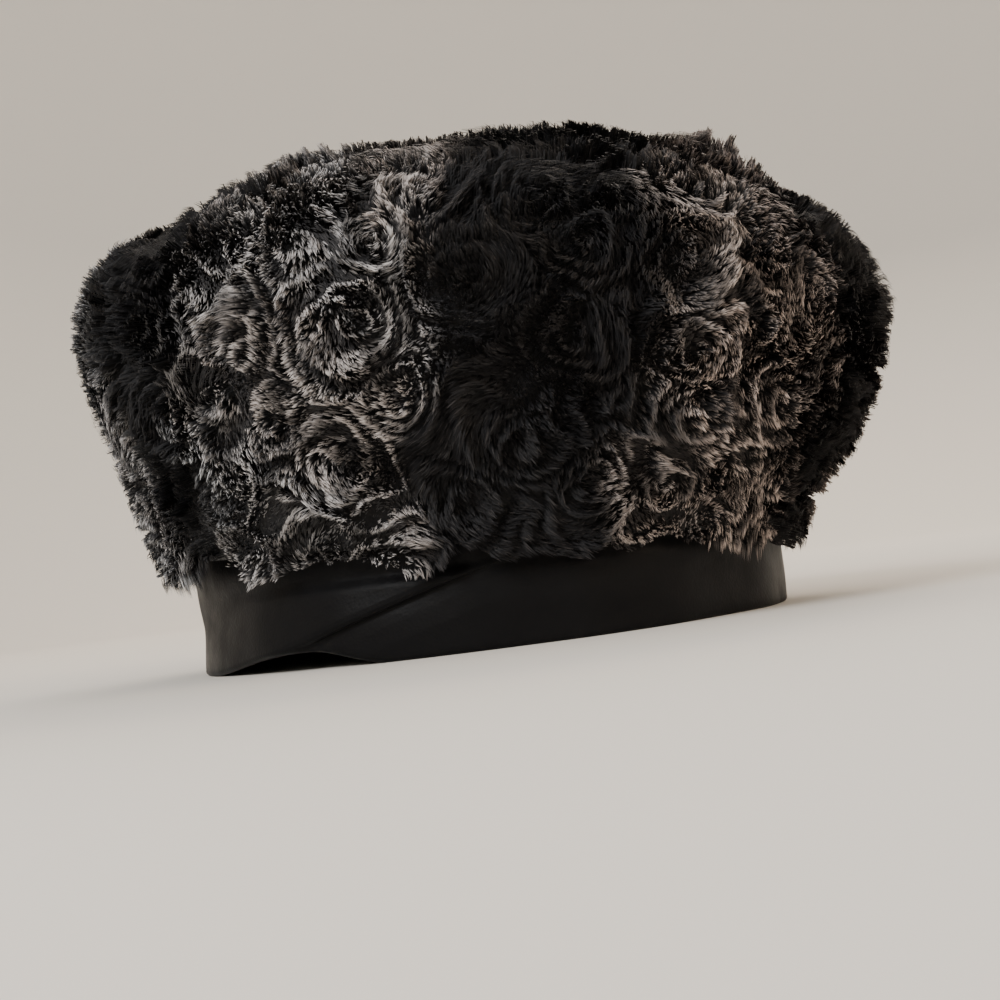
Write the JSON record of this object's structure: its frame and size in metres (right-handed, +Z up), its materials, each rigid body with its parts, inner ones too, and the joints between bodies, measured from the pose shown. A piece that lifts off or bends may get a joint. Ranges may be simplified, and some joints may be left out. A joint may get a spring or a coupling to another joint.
{
  "type": "faux fur beret",
  "caption": "Round beret with a wide drooping crown of curled faux fur and a doubled faux leather head band with a diagonal fold.",
  "frame": {"origin": "middle of the hat's box at the level of the rim's lower edge, where the hat rests", "axes": "+Z up through the crown, -Y the front of the hat, +X the side to which the crown droops, on the viewer's right from the front"},
  "size_m": [0.2528, 0.2624, 0.1547],
  "materials": {
    "faux_leather": "satin black faux leather with a fine grain",
    "side_backing": "matt black knitted backing of the fur, seen inside the crown",
    "top_backing": "matt black knitted backing of the fur, seen inside the crown",
    "side_fur": "long curled faux fur, near black with frosted grey-beige tips",
    "top_fur": "long curled faux fur, near black with frosted grey-beige tips"
  },
  "bodies": {
    "root": {"band": "faux_leather", "crown_side": "side_backing", "crown_top": "top_backing", "side_pile": "side_fur", "top_pile": "top_fur"}
  },
  "joints": []
}
